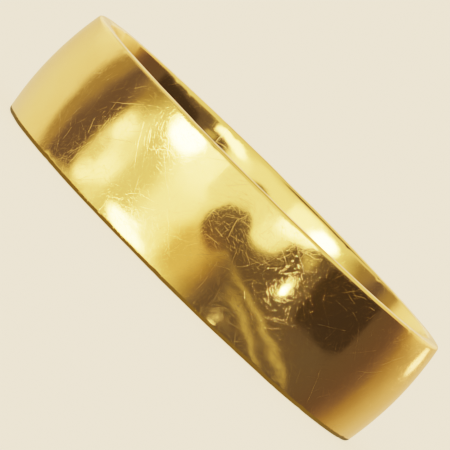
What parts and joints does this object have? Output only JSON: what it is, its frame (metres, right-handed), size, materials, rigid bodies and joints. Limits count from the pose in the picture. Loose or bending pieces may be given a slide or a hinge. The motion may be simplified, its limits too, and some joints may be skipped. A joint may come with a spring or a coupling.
{
  "type": "wedding band",
  "caption": "Plain wedding band: domed outside, bore flared to softened edges, made as a bent strip closed by a solder joint.",
  "frame": {"origin": "middle of the bore, halfway across the band's width", "axes": "+Z along the finger, so the ring lies flat on one edge with its bore upright; the solder joint is near +Y"},
  "size_m": [0.0222, 0.0222, 0.006],
  "materials": {
    "yellow_gold": "polished yellow gold, worn with fine hairline scratches",
    "gold_solder": "gold solder, a little paler than the band and dressed flush"
  },
  "bodies": {
    "root": {"band": "yellow_gold", "solder_seam": "gold_solder"}
  },
  "joints": []
}
